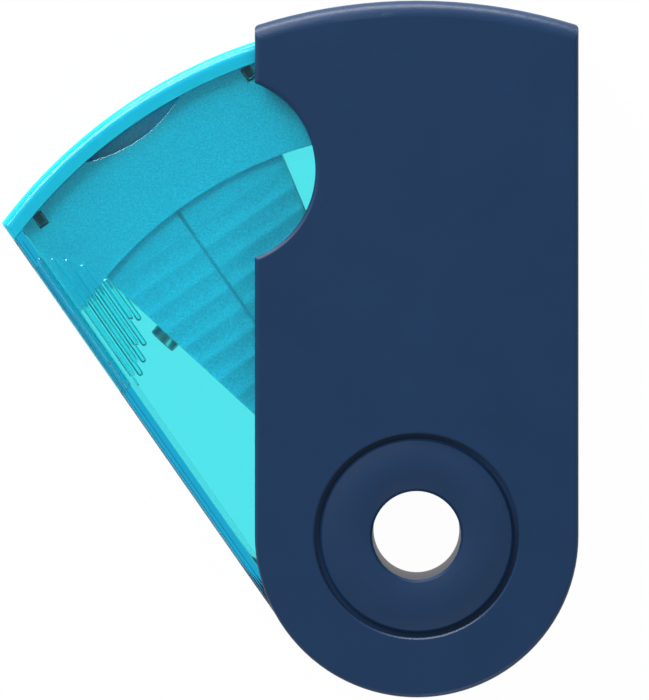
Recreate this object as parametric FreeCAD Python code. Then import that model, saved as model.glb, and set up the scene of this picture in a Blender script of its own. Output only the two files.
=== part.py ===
import FreeCAD, Part
import math
import os

# Pocket pencil sharpener: a sleeve that turns on a hollow hub over a clear shavings container.
# Millimetres and degrees. The origin is the middle of the hanging hole, on the pivot axis.
# +X is to the right, +Y runs from the pivot to the sleeve's top wall, +Z comes out of the front.

# Sleeve
sleeve_width = 31.0
sleeve_reach = 51.3
plate_thickness = 1.5
top_wall = 1.1
sleeve_edge_round = 0.45
top_edge_round = 1.6
corner_round = 0.57
notch_radius = 8.93
notch_outset = 3.12
notch_drop = 16.3

# Container
container_wall = 1.2
container_edge_round = 0.6
hub_boss_wall = 1.4
rib_pitch = 1.0
rib_edge = 1.0
rib_width = 0.5
rib_height = 1.2
rib_chamfer = 0.15
grip_groove_radius = 0.6
grip_groove_depth = 0.35
grip_groove_pitch = 2.0
grip_groove_count = 5
grip_groove_length = 14.5
pull_radius = 13.4
pull_depth = 1.55
snap_width = 0.7
snap_length = 0.9
snap_height = 0.5

# Sharpener insert
standard_bore_radius = 4.1
thick_bore_radius = 5.1
bore_cover = 1.6
bore_lead = 0.25
cap_depth = 2.0
cap_edge_round = 1.0
head_depth = 9.15
pull_recess = 1.1
snap_inset = 1.95
pocket_width = 1.04
pocket_length = 1.5
pocket_depth = 2.5
wedge_root_half_width = 10.64
wedge_step = 0.5
head_draft = 0.6
sharpening_angle = 12.4
cone_lead = 0.2
tip_radius = 0.5
tip_cover = 1.1
chip_slot_share = 0.8
flute_pitch = 2.23
flute_depth = 0.12
flute_radius = 4.2
flute_margin = 2.0
parting_width = 0.3
parting_depth = 0.35

# Blades and their screws
blade_thickness = 0.6
blade_bevel = 1.2
blade_rim = 0.8
screw_shank_radius = 0.9
screw_head_radius = 1.45
screw_head_height = 1.2
screw_chamfer = 0.35
screw_length = 3.2
screw_cone_radius = 2.47
screw_cover = 0.08
screw_slot_width = 0.5
screw_slot_depth = 0.5

# Hub caps
hole_radius = 4.25
tube_wall = 0.85
disc_radius = 9.32
groove_width = 0.48
groove_edge_chamfer = 0.15
disc_seat_depth = 0.9
crown_rise = 0.3
crown_inset = 0.05
rim_chamfer = 0.25
lap_length = 5.0

# Clearances
plate_gap = 0.2
reach_gap = 0.25
plug_gap = 0.1
cap_seat_gap = 0.05
rib_gap = 0.3
hub_running_gap = 0.08
tube_seat_gap = 0.05
lap_gap = 0.02
lap_end_gap = 0.05
blade_gap = 0.05
screw_gap = 0.02

# Pose: the container stands swung out to the left of the sleeve
swing_open = 35.0

# Sizes that follow from the ones above
half_width = sleeve_width / 2
slot_reach = sleeve_reach - top_wall
cap_reach = slot_reach - reach_gap
cap_inner = cap_reach - cap_depth
mouth_reach = cap_inner - cap_seat_gap
head_inner = cap_inner - head_depth
plug_half_height = thick_bore_radius + bore_cover
cavity_half_height = plug_half_height + plug_gap
container_half_height = cavity_half_height + container_wall
slot_half_height = container_half_height + plate_gap
half_thickness = slot_half_height + plate_thickness
wedge_half_height = plug_half_height - wedge_step
blade_width = wedge_half_height - blade_rim
cavity_half_width = half_width - container_wall
plug_half_width = cavity_half_width - plug_gap
snap_offset = plug_half_width - snap_inset
snap_station = math.sqrt(cap_inner ** 2 - snap_offset ** 2) - pocket_length / 2
pull_vertex = cap_inner - pull_depth
notch_x = -half_width - notch_outset
notch_station = sleeve_reach - notch_drop
pad_radius = notch_radius - rib_gap
tube_radius = hole_radius + tube_wall
lap_radius = hole_radius + tube_wall / 2
hub_bore_radius = tube_radius + hub_running_gap
hub_boss_radius = hub_bore_radius + hub_boss_wall
far = sleeve_reach + sleeve_width
slope = math.tan(math.radians(sharpening_angle))
slant = math.cos(math.radians(sharpening_angle))

Vector = FreeCAD.Vector
UP = Vector(0, 0, 1)
AXIAL = Vector(0, 1, 0)
SIDEWAYS = Vector(1, 0, 0)


def flank_half_width(station):
    return wedge_root_half_width - (head_inner - station) * slope


def flank_start():
    """Distance from the pivot at which a wedge flank meets the head's hollow inner face."""
    base = flank_half_width(0)
    square = 1 + slope ** 2
    root = math.sqrt((base * slope) ** 2 - square * (base ** 2 - head_inner ** 2))
    return (root - base * slope) / square


blade_start = flank_start()
cone_start = blade_start - cone_lead


def cone_tip(bore_radius):
    return cone_start - (bore_radius - tip_radius) / slope


def bore_offset(bore_radius):
    """Lateral place of a pencil's axis whose cone just touches its blade."""
    seat = flank_half_width(cone_start) - blade_thickness / slant
    return seat - bore_radius / slant


wedge_end = cone_tip(thick_bore_radius) - tip_cover


# Shared shapes

def closed_face(edges):
    return Part.Face(Part.Wire(edges))


def line(start, end):
    return Part.LineSegment(start, end).toShape()


def polygon(points):
    return Part.Face(Part.makePolygon(points + points[:1]))


def cylinder(radius, half_height):
    return Part.makeCylinder(radius, 2 * half_height, Vector(0, 0, -half_height))


def slab(half_x, y_low, y_high, half_z):
    return Part.makeBox(2 * half_x, y_high - y_low, 2 * half_z, Vector(-half_x, y_low, -half_z))


def mirrored_in_front_plane(shape):
    return shape.mirror(Vector(0, 0, 0), UP)


def rounded_end_bar(half_height, edge_round):
    """Bar with a round end about the pivot and straight sides running past the top wall."""
    left = Vector(-half_width, 0, -half_height)
    right = Vector(half_width, 0, -half_height)
    end = Vector(0, -half_width, -half_height)
    over = Vector(0, far, 0)
    outline = [Part.Arc(left, end, right).toShape(), line(right, right + over)]
    outline += [line(right + over, left + over), line(left + over, left)]
    bar = closed_face(outline).extrude(UP * (2 * half_height))
    rims = [e for e in bar.Edges if e.BoundBox.ZLength < edge_round and e.BoundBox.YMin < far / 2]
    return bar.makeFillet(edge_round, rims)


def drum(radius, half_height, edge_round):
    """Round block about the pivot with rounded front and back edges."""
    block = cylinder(radius, half_height)
    rims = [e for e in block.Edges if e.BoundBox.ZLength < edge_round]
    return block.makeFillet(edge_round, rims)


# Sleeve

def thumb_notch():
    """Round cutter whose flared end leaves a rounded edge on the front plate."""
    flare = sleeve_edge_round
    low = slot_half_height - plate_gap
    shoulder = half_thickness - flare
    top = half_thickness + plate_thickness
    middle = Vector(notch_radius + flare * (1 - math.sqrt(0.5)), 0, shoulder + flare * math.sqrt(0.5))
    corners = [Vector(0, 0, low), Vector(notch_radius, 0, low), Vector(notch_radius, 0, shoulder)]
    rim = Vector(notch_radius + flare, 0, half_thickness)
    outer = Vector(notch_radius + flare, 0, top)
    edges = [line(corners[0], corners[1]), line(corners[1], corners[2])]
    edges += [Part.Arc(corners[2], middle, rim).toShape(), line(rim, outer)]
    edges += [line(outer, Vector(0, 0, top)), line(Vector(0, 0, top), corners[0])]
    cutter = closed_face(edges).revolve(Vector(0, 0, 0), UP, 360)
    return cutter.translate(Vector(notch_x, notch_station, 0))


def corner_cutter():
    """Rounds the sleeve's right top corner, between the side and the curved top."""
    inner = half_width - corner_round
    reach = sleeve_reach - corner_round
    centre = Vector(inner, math.sqrt(reach ** 2 - inner ** 2), -half_thickness)
    outward = Vector(inner, centre.y, 0).normalize() * half_width
    across = SIDEWAYS * half_width
    block = polygon([centre, centre + outward, centre + outward + across, centre + across])
    block = block.extrude(UP * (2 * half_thickness))
    return block.cut(Part.makeCylinder(corner_round, 2 * half_thickness, centre))


def disc_seat():
    """Recess for the front hub cap, with the hole for its tube."""
    floor = half_thickness - disc_seat_depth
    recess = Part.makeCylinder(disc_radius + groove_width, disc_seat_depth, Vector(0, 0, floor))
    hole = Part.makeCylinder(tube_radius + tube_seat_gap, half_thickness)
    return recess.fuse(hole)


def make_sleeve():
    body = rounded_end_bar(half_thickness, sleeve_edge_round)
    body = body.common(drum(sleeve_reach, half_thickness, top_edge_round))
    body = body.cut(cylinder(slot_reach, slot_half_height))
    seat = disc_seat()
    body = body.cut(seat).cut(mirrored_in_front_plane(seat))
    grooves = [e for e in body.Edges if is_groove_edge(e)]
    body = body.makeChamfer(groove_edge_chamfer, grooves)
    notch = thumb_notch()
    corner = corner_cutter()
    cutters = [notch, mirrored_in_front_plane(notch)]
    return body.cut(cutters + [corner, corner.mirror(Vector(0, 0, 0), SIDEWAYS)])


def is_groove_edge(edge):
    box = edge.BoundBox
    on_face = abs(abs(box.ZMin) - half_thickness) < plate_gap and box.ZLength < plate_gap
    return on_face and abs(box.XLength - 2 * (disc_radius + groove_width)) < groove_width


# Container

def make_cavity():
    room = slab(cavity_half_width, 0, far, cavity_half_height)
    return room.cut(cylinder(hub_boss_radius, cavity_half_height))


def round_end_pocket():
    """Front hollow of the round end, behind the sleeve's plate."""
    ring = cylinder(cavity_half_width, far).cut(cylinder(hub_boss_radius, far))
    low = container_wall / 2
    corner = Vector(-half_width, -half_width - container_wall, low)
    return ring.common(Part.makeBox(2 * half_width, half_width, far, corner))


def pull_cutter(depth_to):
    """Round cutter for the pull notch at the mouth, from the front face down to depth_to."""
    height = half_thickness - depth_to
    return Part.makeCylinder(pull_radius, height, Vector(0, pull_vertex + pull_radius, depth_to))


def grip_rib(x):
    """Thumb rib along the container's side, with round ends that stay inside the notch."""
    end_radius = rib_width / 2
    half_length = math.sqrt((pad_radius - end_radius) ** 2 - (x - notch_x) ** 2)
    low = cavity_half_height
    height = container_half_height + rib_height - low
    corner = Vector(x - end_radius, notch_station - half_length, low)
    bar = Part.makeBox(rib_width, 2 * half_length, height, corner)
    for direction in (-1, 1):
        base = Vector(x, notch_station + direction * half_length, low)
        bar = bar.fuse(Part.makeCylinder(end_radius, height, base))
    bar = bar.removeSplitter()
    top = [e for e in bar.Edges if e.BoundBox.ZMin > low + height / 2]
    return bar.makeChamfer(rib_chamfer, top)


def grip_ribs():
    room = pad_radius - rib_width / 2 - notch_outset - rib_edge
    count = int(room / rib_pitch) + 1
    return [grip_rib(rib_edge - half_width + i * rib_pitch) for i in range(count)]


def grip_grooves():
    """Shallow grooves along the container's left side, beside the ribs."""
    x = grip_groove_depth - half_width - grip_groove_radius
    y = notch_station - grip_groove_length / 2
    first = -grip_groove_pitch * (grip_groove_count - 1) / 2
    bases = [Vector(x, y, first + i * grip_groove_pitch) for i in range(grip_groove_count)]
    return [Part.makeCylinder(grip_groove_radius, grip_groove_length, base, AXIAL) for base in bases]


def snap_nub(side):
    """Bump inside the front wall that catches in the insert's pocket."""
    height = container_wall + snap_height
    low = container_half_height - height
    corner = Vector(side * snap_offset - snap_width / 2, snap_station - snap_length / 2, low)
    return Part.makeBox(snap_width, snap_length, height - container_wall / 2, corner)


def make_container():
    body = rounded_end_bar(container_half_height, container_edge_round)
    body = body.common(cylinder(mouth_reach, container_half_height))
    body = body.cut(make_cavity()).cut(cylinder(hub_bore_radius, container_half_height))
    for cutter in (round_end_pocket(), pull_cutter(plug_half_height)):
        body = body.cut(cutter).cut(mirrored_in_front_plane(cutter))
    raised = [snap_nub(side) for side in (-1, 1)] + grip_ribs()
    raised += [mirrored_in_front_plane(shape) for shape in raised]
    body = body.fuse(raised)
    return body.cut(grip_grooves()).removeSplitter()


# Sharpener insert
# A station is one pencil hole with its blade. Each is made on the right flank, blade side up.

def on_flank(shape):
    """Place a shape drawn along the flank (x), out of it (y) and up (z)."""
    shape.rotate(Vector(0, 0, 0), UP, -90 - sharpening_angle)
    return shape.translate(Vector(flank_half_width(blade_start), blade_start, 0))


def along_flank(station):
    return (blade_start - station) / slant


def blade_length(bore_radius):
    return along_flank(cone_tip(bore_radius))


def screw_place(bore_radius):
    station = cone_start - (bore_radius - screw_cone_radius) / slope
    height = screw_cone_radius + screw_cover + screw_shank_radius
    return Vector(along_flank(station), 0, height)


def pencil_hole(bore_radius):
    """Bore, sharpening cone and point clearance along one pencil's axis."""
    x = bore_offset(bore_radius)
    tip = cone_tip(bore_radius)
    point = Part.makeCylinder(tip_radius, far, Vector(x, tip - far, 0), AXIAL)
    cone = Part.makeCone(tip_radius, bore_radius, cone_start - tip, Vector(x, tip, 0), AXIAL)
    bore = Part.makeCylinder(bore_radius, far, Vector(x, cone_start, 0), AXIAL)
    return point.fuse([cone, bore])


def is_bore_rim(edge):
    """True for the edge where a pencil bore comes out of the cap."""
    start = edge.Vertexes[0].Point
    on_outside = abs(math.hypot(start.x, start.y) - cap_reach) < cap_seat_gap
    misses = [edge.BoundBox.ZLength - 2 * radius for radius in (standard_bore_radius, thick_bore_radius)]
    return on_outside and min(abs(miss) for miss in misses) < bore_lead


def chip_slot(bore_radius):
    """Tapered opening beside the cutting edge, where shavings leave the cone."""
    start = along_flank(cone_start)
    end = blade_length(bore_radius)
    outside = blade_thickness
    depth = -blade_thickness - bore_radius
    plan = [Vector(start, outside, 0), Vector(start, depth, 0)]
    plan += [Vector(end, -blade_thickness - tip_radius, 0), Vector(end, outside, 0)]
    drop = chip_slot_share * bore_radius
    side = [Vector(start, 0, 0), Vector(start, 0, -drop)]
    side += [Vector(end, 0, -tip_radius), Vector(end, 0, 0)]
    below = polygon(plan).extrude(UP * -far)
    across = polygon(side).extrude(AXIAL * (2 * far)).translate(AXIAL * -far)
    return on_flank(below.common(across))


def blade_seat(bore_radius):
    corner = Vector(0, -blade_thickness, 0)
    return on_flank(Part.makeBox(blade_length(bore_radius), far, blade_width + blade_gap, corner))


def screw_hole(bore_radius):
    base = screw_place(bore_radius) + AXIAL * (-blade_thickness - screw_length - screw_gap)
    return on_flank(Part.makeCylinder(screw_shank_radius + screw_gap, far, base, AXIAL))


def station_cutter(bore_radius):
    parts = [chip_slot(bore_radius), blade_seat(bore_radius), screw_hole(bore_radius)]
    return parts[0].fuse(parts[1:])


def on_standard_side(shape):
    """Turn a station made on the right flank over to the left flank."""
    return shape.rotate(Vector(0, 0, 0), AXIAL, 180)


def wedge_flutes():
    """Shallow cross grooves on the wedge's front face."""
    z = wedge_half_height - flute_depth + flute_radius
    count = int((blade_start - wedge_end - 2 * flute_margin) / flute_pitch) + 1
    places = [blade_start - flute_margin - i * flute_pitch for i in range(count)]
    return [Part.makeCylinder(flute_radius, far, Vector(-far / 2, y, z), SIDEWAYS) for y in places]


def parting_groove():
    """Line along the wedge's front face, over the wall between the bores."""
    inner_standard = standard_bore_radius - bore_offset(standard_bore_radius)
    inner_thick = bore_offset(thick_bore_radius) - thick_bore_radius
    x = (inner_standard + inner_thick - parting_width) / 2
    return Part.makeBox(parting_width, head_inner, far, Vector(x, 0, wedge_half_height - parting_depth))


def make_wedge():
    root = head_inner + head_depth / 2
    wide = wedge_root_half_width
    narrow = flank_half_width(wedge_end)
    low = -wedge_half_height
    points = [Vector(-narrow, wedge_end, low), Vector(narrow, wedge_end, low)]
    points += [Vector(wide, head_inner, low), Vector(wide, root, low)]
    points += [Vector(-wide, root, low), Vector(-wide, head_inner, low)]
    wedge = polygon(points).extrude(UP * (2 * wedge_half_height))
    for cutter in wedge_flutes() + [parting_groove()]:
        wedge = wedge.cut(cutter).cut(mirrored_in_front_plane(cutter))
    return wedge


def snap_pocket(side):
    """Pocket in the head's front face for the container's snap bump."""
    x = side * snap_offset - pocket_width / 2
    corner = Vector(x, snap_station - pocket_length / 2, plug_half_height - pocket_depth)
    return Part.makeBox(pocket_width, pocket_length, far, corner)


def drafted_hollow():
    """Room inside the head, a little wider at the back so that the moulding leaves its tool."""
    base = Vector(0, 0, -plug_half_height)
    return Part.makeCone(head_inner + head_draft, head_inner, 2 * plug_half_height, base)


def make_head():
    head = slab(plug_half_width, head_inner / 2, far, plug_half_height)
    head = head.common(cylinder(cap_inner, far)).cut(drafted_hollow())
    cutters = [snap_pocket(-1), snap_pocket(1), pull_cutter(plug_half_height - pull_recess)]
    for cutter in cutters:
        head = head.cut(cutter).cut(mirrored_in_front_plane(cutter))
    return head


def make_cap():
    bar = rounded_end_bar(container_half_height, container_edge_round)
    upper = bar.common(slab(half_width, head_inner / 2, far, container_half_height))
    return upper.common(drum(cap_reach, container_half_height, cap_edge_round)).cut(cylinder(cap_inner, far))


def make_insert():
    body = make_cap().fuse([make_head(), make_wedge()])
    body = body.cut([pencil_hole(thick_bore_radius), on_standard_side(pencil_hole(standard_bore_radius))])
    body = body.removeSplitter()
    body = body.makeChamfer(bore_lead, [edge for edge in body.Edges if is_bore_rim(edge)])
    thick = station_cutter(thick_bore_radius)
    standard = on_standard_side(station_cutter(standard_bore_radius))
    return body.cut([thick, standard]).removeSplitter()


# Blades and screws

def make_blade(bore_radius):
    """Flat blade with one bevelled cutting edge, lying in its seat."""
    inner = -blade_thickness
    section = [Vector(blade_gap, inner, 0), Vector(blade_gap, 0, blade_bevel)]
    section += [Vector(blade_gap, 0, blade_width), Vector(blade_gap, inner, blade_width)]
    blade = polygon(section).extrude(SIDEWAYS * (blade_length(bore_radius) - 2 * blade_gap))
    place = screw_place(bore_radius)
    hole = Part.makeCylinder(screw_shank_radius + screw_gap, 2 * blade_thickness, place, -AXIAL)
    return on_flank(blade.cut(hole))


def make_screw(bore_radius):
    """Slotted screw with a bevelled head, seated on the blade."""
    place = screw_place(bore_radius)
    shank_length = blade_thickness + screw_length
    shank = Part.makeCylinder(screw_shank_radius, shank_length, place, -AXIAL)
    head = Part.makeCylinder(screw_head_radius, screw_head_height, place, AXIAL)
    crown = [e for e in head.Edges if e.BoundBox.YMin > screw_head_height / 2]
    head = head.makeChamfer(screw_chamfer, crown)
    corner = place + Vector(-screw_slot_width / 2, screw_head_height - screw_slot_depth, -screw_head_radius)
    slot = Part.makeBox(screw_slot_width, screw_head_height, 2 * screw_head_radius, corner)
    return on_flank(head.cut(slot).fuse(shank).removeSplitter())


def make_screws():
    standard = on_standard_side(make_screw(standard_bore_radius))
    return Part.makeCompound([make_screw(thick_bore_radius), standard])


# Hub caps

def turned_cap(tube):
    """Ring with a crowned face and the tube sections given as (radius, height) points."""
    crest = half_thickness - crown_inset
    rim = crest - crown_rise
    seat = half_thickness - disc_seat_depth
    inner = Vector(hole_radius, 0, rim)
    outer = Vector(disc_radius, 0, rim)
    middle = Vector((hole_radius + disc_radius) / 2, 0, crest)
    points = [outer, Vector(disc_radius, 0, seat), Vector(tube_radius, 0, seat)]
    points += [Vector(radius, 0, height) for radius, height in tube] + [inner]
    edges = [Part.Arc(inner, middle, outer).toShape()]
    edges += [line(start, end) for start, end in zip(points, points[1:])]
    cap = closed_face(edges).revolve(Vector(0, 0, 0), UP, 360)
    flat = [e for e in cap.Edges if e.BoundBox.ZLength < crown_inset]
    rims = [e for e in flat if abs(e.BoundBox.ZMin - rim) < crown_inset]
    return cap.makeChamfer(rim_chamfer, rims)


def make_front_cap():
    top = lap_length / 2
    tube = [(tube_radius, top), (lap_radius, top), (lap_radius, -top), (hole_radius, -top)]
    return turned_cap(tube)


def make_back_cap():
    top = lap_length / 2
    socket = lap_radius + lap_gap
    tube = [(tube_radius, lap_end_gap - top), (socket, lap_end_gap - top)]
    tube += [(socket, top + lap_end_gap), (hole_radius, top + lap_end_gap)]
    return mirrored_in_front_plane(turned_cap(tube))


def swung(shape):
    shape.rotate(Vector(0, 0, 0), UP, swing_open)
    return shape


def main():
    parts = {
        "sleeve": make_sleeve(),
        "front_hub_cap": make_front_cap(),
        "back_hub_cap": make_back_cap(),
        "container": swung(make_container()),
        "sharpener_insert": swung(make_insert()),
        "standard_blade": swung(on_standard_side(make_blade(standard_bore_radius))),
        "thick_blade": swung(make_blade(thick_bore_radius)),
        "blade_screws": swung(make_screws()),
    }
    os.makedirs("parts", exist_ok=True)
    for name, shape in parts.items():
        shape.exportStep("parts/" + name + ".step")


main()
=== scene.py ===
import bmesh
import bpy
import math
from mathutils import Matrix, Vector


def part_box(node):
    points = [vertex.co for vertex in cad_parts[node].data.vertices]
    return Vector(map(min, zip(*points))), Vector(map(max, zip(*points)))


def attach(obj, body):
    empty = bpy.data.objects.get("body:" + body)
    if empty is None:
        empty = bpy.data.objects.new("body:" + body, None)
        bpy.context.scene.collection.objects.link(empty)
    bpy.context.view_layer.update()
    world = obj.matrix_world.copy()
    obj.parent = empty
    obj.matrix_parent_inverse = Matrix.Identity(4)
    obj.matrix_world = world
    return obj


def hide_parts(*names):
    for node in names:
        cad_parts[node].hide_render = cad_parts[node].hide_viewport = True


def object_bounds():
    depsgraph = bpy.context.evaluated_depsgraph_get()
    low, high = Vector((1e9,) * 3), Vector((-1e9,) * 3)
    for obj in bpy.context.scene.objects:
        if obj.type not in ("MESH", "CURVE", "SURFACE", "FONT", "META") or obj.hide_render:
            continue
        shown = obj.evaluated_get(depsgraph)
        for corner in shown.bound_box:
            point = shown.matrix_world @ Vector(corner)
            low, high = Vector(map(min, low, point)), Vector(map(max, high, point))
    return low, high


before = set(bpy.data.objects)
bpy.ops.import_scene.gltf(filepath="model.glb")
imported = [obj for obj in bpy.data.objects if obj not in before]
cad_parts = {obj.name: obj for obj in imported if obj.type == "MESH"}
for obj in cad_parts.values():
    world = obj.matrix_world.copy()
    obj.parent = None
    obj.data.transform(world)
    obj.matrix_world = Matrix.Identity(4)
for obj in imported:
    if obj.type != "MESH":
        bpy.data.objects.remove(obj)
cad_low, cad_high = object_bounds()

# View: the photograph's frame in pixels, tied to the model by the sleeve's width and the pivot
photo_width_px = 649
photo_height_px = 700
sleeve_width_px = 324.0
pivot_px = (416.6, 535.7)
camera_over_px = (411.0, 350.0)
camera_distance = 0.52
sensor_size = 36.0

# Surround: its strength at the sides and overhead, and the height of a direction from which it darkens
world_side = 0.54
world_zenith = 0.34
world_bend = 0.5

# Lamps: places and sizes in metres, powers in watts
key_place = (-0.26, 0.36, 0.34)
key_size = (0.26, 0.26)
key_power = 1.9
rim_place = (-0.09, 0.46, 0.05)
rim_size = (0.44, 0.11)
rim_power = 2.7
fill_place = (0.12, -0.40, 0.30)
fill_size = (0.30, 0.30)
fill_power = 0.8

# Floor: its side in metres, its surface, and the share of plain white that it shows to the eye
floor_size = 4.0
floor_colour = (0.90, 0.90, 0.90)
floor_roughness = 0.9
floor_white_share = 0.98

# Noise: its detail, and the part of its range over which a tone changes
noise_detail = 3.0
soft_noise_detail = 2.0
tone_start = 0.3
tone_end = 0.7

# Colours, linear
white = (1.0, 1.0, 1.0)
navy = (0.0058, 0.0311, 0.0900)
navy_hub = (0.0055, 0.0300, 0.0875)
cap_cyan = (0.008, 0.455, 0.615)
# The insert is one plastic with the cap. Its colour inside the container is painted lighter, standing in
# for the light that the clear wall holds back.
insert_cyan_painted_lighter = (0.14, 0.515, 0.64)
steel = (0.56, 0.57, 0.58)
screw_steel = (0.46, 0.48, 0.49)

# Opaque plastic: tones as shares, noise scales for each metre, heights and depths in metres
plastic_shine = 0.3
navy_tone = 0.05
navy_tone_scale = 160.0
navy_grain_scale = 5200.0
sleeve_roughness = (0.33, 0.43)
sleeve_grain_height = 0.000012
hub_roughness = (0.41, 0.51)
hub_grain_height = 0.000010
cap_tone = 0.04
cap_tone_scale = 120.0
cap_roughness = 0.12
insert_tone = 0.17
insert_tone_scale = 5500.0
insert_roughness = 0.26
insert_grain_scale = 9000.0
insert_grain_height = 0.000006
insert_scatter_share = 0.7
insert_scatter_colour = (0.3, 1.0, 1.1)
insert_scatter_depth = 0.0018

# Clear plastic: a metre of it absorbs the density times what the colour lacks of white
clear_colour = (0.0, 0.945, 0.975)
clear_density = 1030.0
clear_ior = 1.50
clear_grain_scale = 420.0
clear_roughness = (0.015, 0.05)
clear_edge_round = 0.00016
clear_edge_samples = 8
clear_end_margin = 0.00035
lamp_pass = (0.70, 0.74, 0.75)

# Steel: fine lines, which run along the axes that have the smaller factors
steel_line_scale = 900.0
steel_line_height = 0.00001
blade_tone = 0.13
blade_roughness = (0.20, 0.34)
blade_line_factors = (1.0, 1.0, 9.0)
# The screws' strong tone paints light and dark bands along their axis. The bands are partly drawn lines
# and partly painted shade and highlight, standing in for the shading of a round head.
screw_tone_with_painted_bands = 0.4
screw_roughness = (0.26, 0.40)
screw_line_factors = (1.0, 0.1, 1.0)

# Blade screws: sizes in metres, and the length of the tool that cuts the slot in radii of the head
screw_rim_round = 0.00018
screw_rim_steps = 3
screw_slot_width = 0.0005
screw_slot_depth = 0.0005
screw_slot_radii = 3
screw_steps = 48
weld_distance = 1e-7
sharp_angle = math.radians(30)


def node(owner, kind, **values):
    """New node in a material or a world."""
    made = owner.node_tree.nodes.new(kind)
    for name, value in values.items():
        setattr(made, name, value)
    return made


def link(owner, source, target):
    """Link two sockets in a material or a world."""
    owner.node_tree.links.new(source, target)


def opaque(colour):
    """Colour with a full alpha, as a socket takes it."""
    return (*colour, 1.0)


def shader_of(name):
    """New node material with its Principled shader."""
    material = bpy.data.materials.new(name)
    material.use_nodes = True
    shader = material.node_tree.nodes["Principled BSDF"]
    return material, shader


def place_on(material):
    """Coordinates that stay with the piece."""
    return node(material, "ShaderNodeTexCoord").outputs["Object"]


def grain(material, scale, detail=noise_detail, factors=(1.0, 1.0, 1.0)):
    """Noise in metres on the piece, as a value from 0 to 1."""
    mapping = node(material, "ShaderNodeMapping")
    mapping.inputs["Scale"].default_value = factors
    noise = node(material, "ShaderNodeTexNoise")
    noise.inputs["Scale"].default_value = scale
    noise.inputs["Detail"].default_value = detail
    link(material, place_on(material), mapping.inputs["Vector"])
    link(material, mapping.outputs["Vector"], noise.inputs["Vector"])
    return noise.outputs["Fac"]


def toned(colour, factor):
    """Colour made darker or lighter by a factor."""
    return tuple(channel * factor for channel in colour)


def mottled(material, value, colour, tone):
    """Colour that a value from 0 to 1 takes from darker to lighter by a share."""
    ramp = node(material, "ShaderNodeValToRGB")
    darker, lighter = ramp.color_ramp.elements
    darker.position = tone_start
    lighter.position = tone_end
    darker.color = opaque(toned(colour, 1 - tone))
    lighter.color = opaque(toned(colour, 1 + tone))
    link(material, value, ramp.inputs["Fac"])
    return ramp.outputs["Color"]


def spread(owner, value, low, high, start=0.0):
    """Value from a start to 1, spread between two numbers."""
    ranged = node(owner, "ShaderNodeMapRange")
    ranged.inputs["From Min"].default_value = start
    ranged.inputs["To Min"].default_value = low
    ranged.inputs["To Max"].default_value = high
    link(owner, value, ranged.inputs["Value"])
    return ranged.outputs["Result"]


def bump(material, value, height):
    """Normal of a surface that a value from 0 to 1 raises by a height."""
    made = node(material, "ShaderNodeBump")
    made.inputs["Distance"].default_value = height
    link(material, value, made.inputs["Height"])
    return made.outputs["Normal"]


def joined(material, operation, first, second):
    """Two values put through a Math node."""
    made = node(material, "ShaderNodeMath", operation=operation)
    link(material, first, made.inputs[0])
    link(material, second, made.inputs[1])
    return made.outputs["Value"]


def joined_with_number(material, operation, value, number):
    """A value and a fixed number put through a Math node."""
    made = node(material, "ShaderNodeMath", operation=operation)
    made.inputs[1].default_value = number
    link(material, value, made.inputs[0])
    return made.outputs["Value"]


def blended(material, kind, share, first, second):
    """First of two colours or vectors where a share is 0, and the second where it is 1."""
    mix = node(material, "ShaderNodeMix", data_type=kind)
    factor, start, end = [socket for socket in mix.inputs if socket.enabled]
    link(material, share, factor)
    link(material, first, start)
    link(material, second, end)
    return next(socket for socket in mix.outputs if socket.enabled)


def mixed_shaders(material, share, first, second):
    """First of two shaders where a share is 0, and the second where it is 1."""
    mix = node(material, "ShaderNodeMixShader")
    link(material, share, mix.inputs["Fac"])
    link(material, first, mix.inputs[1])
    link(material, second, mix.inputs[2])
    return mix.outputs["Shader"]


def within(material, radius):
    """1 nearer to the pivot than a radius, and 0 beyond it."""
    parts = node(material, "ShaderNodeSeparateXYZ")
    level = node(material, "ShaderNodeCombineXYZ")
    distance = node(material, "ShaderNodeVectorMath", operation="LENGTH")
    link(material, place_on(material), parts.inputs["Vector"])
    link(material, parts.outputs["X"], level.inputs["X"])
    link(material, parts.outputs["Y"], level.inputs["Y"])
    link(material, level.outputs["Vector"], distance.inputs[0])
    return joined_with_number(material, "LESS_THAN", distance.outputs["Value"], radius)


def container_reach():
    """Distance from the pivot to the container's far end, where the insert's cap begins."""
    return max(vertex.co.xy.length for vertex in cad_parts["container"].data.vertices)


def navy_plastic(name, colour, roughness, grain_height):
    """Opaque moulded plastic with an uneven tone, uneven gloss and a fine grain."""
    material, shader = shader_of(name)
    cloud = grain(material, navy_tone_scale)
    fine = grain(material, navy_grain_scale)
    shader.inputs["Specular IOR Level"].default_value = plastic_shine
    link(material, mottled(material, cloud, colour, navy_tone), shader.inputs["Base Color"])
    link(material, spread(material, fine, *roughness), shader.inputs["Roughness"])
    link(material, bump(material, fine, grain_height), shader.inputs["Normal"])
    return material


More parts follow.
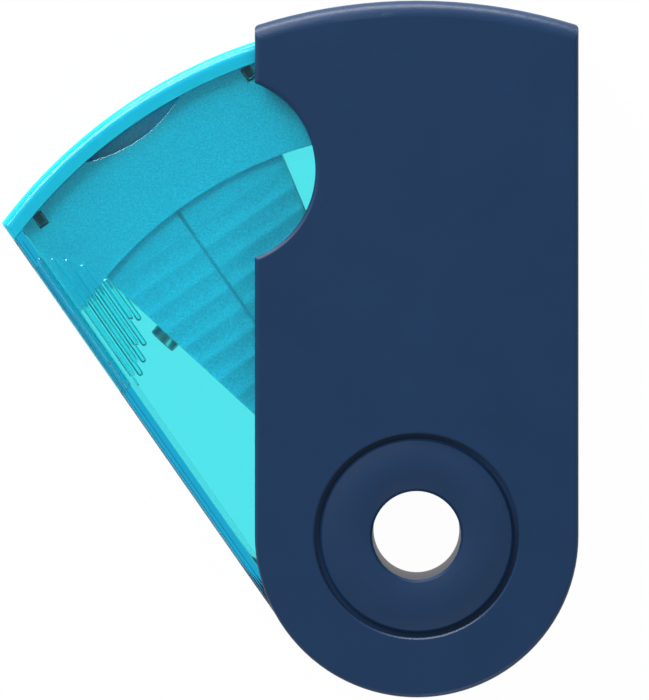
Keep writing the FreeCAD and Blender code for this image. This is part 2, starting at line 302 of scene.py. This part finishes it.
def insert_plastic():
    """Opaque plastic with a polished cap, and an eroded finish on what lies in the container, where the
    colour is also painted lighter than the cap's to make up for the light that the clear wall holds back.
    """
    material, shader = shader_of("cyan_plastic")
    inside = within(material, container_reach())
    polished = mottled(material, grain(material, cap_tone_scale, soft_noise_detail), cap_cyan, cap_tone)
    eroded_and_painted_lighter = mottled(material, grain(material, insert_tone_scale), insert_cyan_painted_lighter, insert_tone)
    depth = joined(material, "MULTIPLY", inside, grain(material, insert_grain_scale))
    # Inside the container the colour is painted lighter than the cap's, standing in for light lost
    # through the clear wall.
    link(material, blended(material, "RGBA", inside, polished, eroded_and_painted_lighter), shader.inputs["Base Color"])
    link(material, spread(material, inside, cap_roughness, insert_roughness), shader.inputs["Roughness"])
    link(material, bump(material, depth, insert_grain_height), shader.inputs["Normal"])
    shader.inputs["Specular IOR Level"].default_value = plastic_shine
    shader.inputs["Subsurface Weight"].default_value = insert_scatter_share
    shader.inputs["Subsurface Radius"].default_value = insert_scatter_colour
    shader.inputs["Subsurface Scale"].default_value = insert_scatter_depth
    return material


def lamp_light_through(material, shader):
    """Shader that also lets the lamps light what lies behind it."""
    path = node(material, "ShaderNodeLightPath")
    passing = node(material, "ShaderNodeBsdfTransparent")
    passing.inputs["Color"].default_value = opaque(lamp_pass)
    return mixed_shaders(material, path.outputs["Is Shadow Ray"], shader.outputs["BSDF"],
                         passing.outputs["BSDF"])


def rounded_edges(material):
    """Normals that round every edge, apart from the end that the cap covers."""
    flat = node(material, "ShaderNodeNewGeometry")
    edge = node(material, "ShaderNodeBevel", samples=clear_edge_samples)
    edge.inputs["Radius"].default_value = clear_edge_round
    inside = within(material, container_reach() - clear_end_margin)
    return blended(material, "VECTOR", inside, flat.outputs["Normal"], edge.outputs["Normal"])


def clear_plastic():
    """Polished clear plastic that takes its colour from its thickness."""
    material, shader = shader_of("clear_cyan_plastic")
    shader.inputs["Base Color"].default_value = opaque(white)
    shader.inputs["Transmission Weight"].default_value = 1.0
    shader.inputs["IOR"].default_value = clear_ior
    fine = grain(material, clear_grain_scale, soft_noise_detail)
    link(material, rounded_edges(material), shader.inputs["Normal"])
    link(material, spread(material, fine, *clear_roughness), shader.inputs["Roughness"])
    volume = node(material, "ShaderNodeVolumeAbsorption")
    volume.inputs["Color"].default_value = opaque(clear_colour)
    volume.inputs["Density"].default_value = clear_density
    output = material.node_tree.nodes["Material Output"]
    link(material, volume.outputs["Volume"], output.inputs["Volume"])
    link(material, lamp_light_through(material, shader), output.inputs["Surface"])
    return material


def lined_steel(name, colour, tone, roughness, factors):
    """Steel with fine lines, as grinding or drawing leaves them."""
    material, shader = shader_of(name)
    lines = grain(material, steel_line_scale, factors=factors)
    shader.inputs["Metallic"].default_value = 1.0
    link(material, mottled(material, lines, colour, tone), shader.inputs["Base Color"])
    link(material, spread(material, lines, *roughness), shader.inputs["Roughness"])
    link(material, bump(material, lines, steel_line_height), shader.inputs["Normal"])
    return material


def dress(name, material):
    """Give a CAD node its material."""
    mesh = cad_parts[name].data
    mesh.materials.clear()
    mesh.materials.append(material)


def dress_all():
    """Give every CAD node its material, apart from the screws, which are made again."""
    sleeve_navy = navy_plastic("navy_plastic", navy, sleeve_roughness, sleeve_grain_height)
    hub_navy = navy_plastic("navy_hub_plastic", navy_hub, hub_roughness, hub_grain_height)
    blade_steel = lined_steel("blade_steel", steel, blade_tone, blade_roughness, blade_line_factors)
    dress("sleeve", sleeve_navy)
    dress("front_hub_cap", hub_navy)
    dress("back_hub_cap", hub_navy)
    dress("container", clear_plastic())
    dress("sharpener_insert", insert_plastic())
    dress("standard_blade", blade_steel)
    dress("thick_blade", blade_steel)


def add_object(name, data):
    """New object in the scene."""
    made = bpy.data.objects.new(name, data)
    bpy.context.scene.collection.objects.link(made)
    return made


def add_mesh(name, shape):
    """New object from a bmesh, which is used up."""
    mesh = bpy.data.meshes.new(name)
    shape.to_mesh(mesh)
    shape.free()
    return add_object(name, mesh)


def box_centre(name):
    """Middle of a CAD node's box."""
    low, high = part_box(name)
    return (low + high) / 2


def points_of(name):
    """Vertices of a CAD node."""
    return [vertex.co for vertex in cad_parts[name].data.vertices]


def ends(points, direction):
    """Least and greatest distance of some points along a direction."""
    distances = [point.dot(direction) for point in points]
    return min(distances), max(distances)


def half_width(points, direction):
    """Half the distance between the ends of some points along a direction."""
    low, high = ends(points, direction)
    return (high - low) / 2


def middle(points, direction):
    """Distance along a direction to the middle of some points."""
    low, high = ends(points, direction)
    return (low + high) / 2


def flank_out(blade):
    """Outward normal of the flank that a blade lies on, which is its screw's axis."""
    widest = max(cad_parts[blade].data.polygons, key=lambda face: face.area).normal
    outward = box_centre(blade) - box_centre("sharpener_insert")
    return widest.copy() if widest.dot(outward) > 0 else -widest


def screw_points(blade):
    """Vertices of the CAD screw that holds a blade, which lies on the same side of the middle plane."""
    side = box_centre(blade).z
    return [point for point in points_of("blade_screws") if point.z * side > 0]


def screw_profile(stem, head, depth, height):
    """Radii and heights of a screw, from the end of its stem to the top of its head with a round rim."""
    rim = []
    for step in range(screw_rim_steps + 1):
        angle = math.radians(90 * step / screw_rim_steps)
        radius = head - screw_rim_round * (1 - math.cos(angle))
        rim.append((radius, height - screw_rim_round * (1 - math.sin(angle))))
    return [(0, -depth), (stem, -depth), (stem, 0), (head, 0), *rim, (0, height)]


def turned_piece(name, profile):
    """Piece turned round Y from a list of radii and heights."""
    shape = bmesh.new()
    points = [shape.verts.new((radius, height, 0)) for radius, height in profile]
    edges = [shape.edges.new(pair) for pair in zip(points, points[1:])]
    bmesh.ops.spin(shape, geom=points + edges, cent=(0, 0, 0), axis=(0, 1, 0), angle=2 * math.pi,
                   steps=screw_steps)
    bmesh.ops.remove_doubles(shape, verts=shape.verts, dist=weld_distance)
    bmesh.ops.recalc_face_normals(shape, faces=shape.faces)
    return add_mesh(name, shape)


def cut_slot(piece, length, height):
    """Cut a slot along X across the head of a screw, down from a height."""
    shape = bmesh.new()
    size = (length, 2 * screw_slot_depth, screw_slot_width, 1)
    bmesh.ops.create_cube(shape, size=1.0, matrix=Matrix.Diagonal(size))
    bmesh.ops.translate(shape, verts=shape.verts, vec=(0, height, 0))
    cutter = add_mesh("slot", shape)
    modifier = piece.modifiers.new("slot", "BOOLEAN")
    modifier.object = cutter
    graph = bpy.context.evaluated_depsgraph_get()
    slotted = bpy.data.meshes.new_from_object(piece.evaluated_get(graph))
    piece.modifiers.clear()
    piece.data = slotted
    bpy.data.objects.remove(cutter)


def blade_screw(name, blade, material):
    """Slotted screw on a blade, at the place and size of its CAD solid, with its slot along the flank."""
    up = Vector((0, 0, 1))
    out = flank_out(blade)
    along = out.cross(up)
    points = screw_points(blade)
    seat = ends(points_of(blade), out)[1]
    inner, outer = ends(points, out)
    stem_points = [point for point in points if point.dot(out) < (inner + seat) / 2]
    head = half_width(points, along)
    stem = half_width(stem_points, along)
    height = outer - seat
    piece = turned_piece(name, screw_profile(stem, head, seat - inner, height))
    cut_slot(piece, screw_slot_radii * head, height)
    piece.data.shade_smooth()
    piece.data.set_sharp_from_angle(angle=sharp_angle)
    piece.data.materials.clear()
    piece.data.materials.append(material)
    piece.matrix_world = Matrix((along, out, up)).transposed().to_4x4()
    piece.location = along * middle(points, along) + out * seat + up * middle(points, up)
    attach(piece, "container")
    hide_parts("blade_screws")


def make_screws():
    """One screw for each blade."""
    # Besides drawn lines, this steel carries painted shade and highlight bands along the screw's axis.
    material = lined_steel("screw_steel", screw_steel, screw_tone_with_painted_bands, screw_roughness, screw_line_factors)
    for size in ("standard", "thick"):
        blade_screw(size + "_blade_screw", size + "_blade", material)


def metres_per_pixel():
    """Size of a pixel of the photograph at the sleeve's front."""
    low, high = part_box("sleeve")
    return (high.x - low.x) / sleeve_width_px


def point_under(px, height):
    """Point at a height above the origin that lies under a pixel of the photograph, seen square on."""
    scale = metres_per_pixel()
    return Vector(((px[0] - pivot_px[0]) * scale, (pivot_px[1] - px[1]) * scale, height))


def make_camera():
    """Camera over the sleeve's front, turned to the middle of the photograph with +Y up."""
    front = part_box("sleeve")[1].z
    target = point_under((photo_width_px / 2, photo_height_px / 2), front)
    place = point_under(camera_over_px, front + camera_distance)
    data = bpy.data.cameras.new("camera")
    data.sensor_width = sensor_size
    data.lens = sensor_size * camera_distance / (photo_height_px * metres_per_pixel())
    camera = add_object("camera", data)
    camera.location = place
    back = (place - target).normalized()
    right = Vector((0, 1, 0)).cross(back).normalized()
    camera.rotation_euler = Matrix((right, back.cross(right), back)).transposed().to_euler()
    bpy.context.scene.camera = camera


def make_world():
    """Soft studio surround, even at the sides and darker overhead."""
    world = bpy.data.worlds.new("studio")
    world.use_nodes = True
    background = world.node_tree.nodes["Background"]
    place = node(world, "ShaderNodeTexCoord")
    parts = node(world, "ShaderNodeSeparateXYZ")
    link(world, place.outputs["Generated"], parts.inputs["Vector"])
    strength = spread(world, parts.outputs["Z"], world_side, world_zenith, world_bend)
    link(world, strength, background.inputs["Strength"])
    background.inputs["Color"].default_value = opaque(white)
    bpy.context.scene.world = world


def area_light(name, place, size, power):
    """Rectangular lamp that faces the pivot."""
    data = bpy.data.lights.new(name, "AREA")
    data.shape = "RECTANGLE"
    data.size, data.size_y = size
    data.energy = power
    light = add_object(name, data)
    light.location = place
    light.rotation_euler = (-Vector(place)).to_track_quat("-Z", "Y").to_euler()


def floor_material():
    """Pale floor that shows white to the eye and through clear plastic, and keeps a soft shadow."""
    material, shader = shader_of("floor")
    shader.inputs["Base Color"].default_value = opaque(floor_colour)
    shader.inputs["Roughness"].default_value = floor_roughness
    path = node(material, "ShaderNodeLightPath").outputs
    plain_white = node(material, "ShaderNodeEmission")
    seen = joined(material, "MAXIMUM", path["Is Camera Ray"], path["Is Glossy Ray"])
    any_seen = joined(material, "MAXIMUM", seen, path["Is Transmission Ray"])
    share = joined_with_number(material, "MULTIPLY", any_seen, floor_white_share)
    surface = mixed_shaders(material, share, shader.outputs["BSDF"], plain_white.outputs["Emission"])
    link(material, surface, material.node_tree.nodes["Material Output"].inputs["Surface"])
    return material


def make_floor():
    """Square floor at the level of the part's underside."""
    half = floor_size / 2
    level = cad_low.z
    corners = [(-half, -half, level), (half, -half, level), (half, half, level), (-half, half, level)]
    mesh = bpy.data.meshes.new("floor")
    mesh.from_pydata(corners, [], [(0, 1, 2, 3)])
    mesh.materials.append(floor_material())
    floor = add_object("floor", mesh)


dress_all()
make_screws()
make_camera()
make_world()
area_light("key", key_place, key_size, key_power)
area_light("rim", rim_place, rim_size, rim_power)
area_light("fill", fill_place, fill_size, fill_power)
make_floor()
bpy.context.scene.view_settings.view_transform = "Standard"
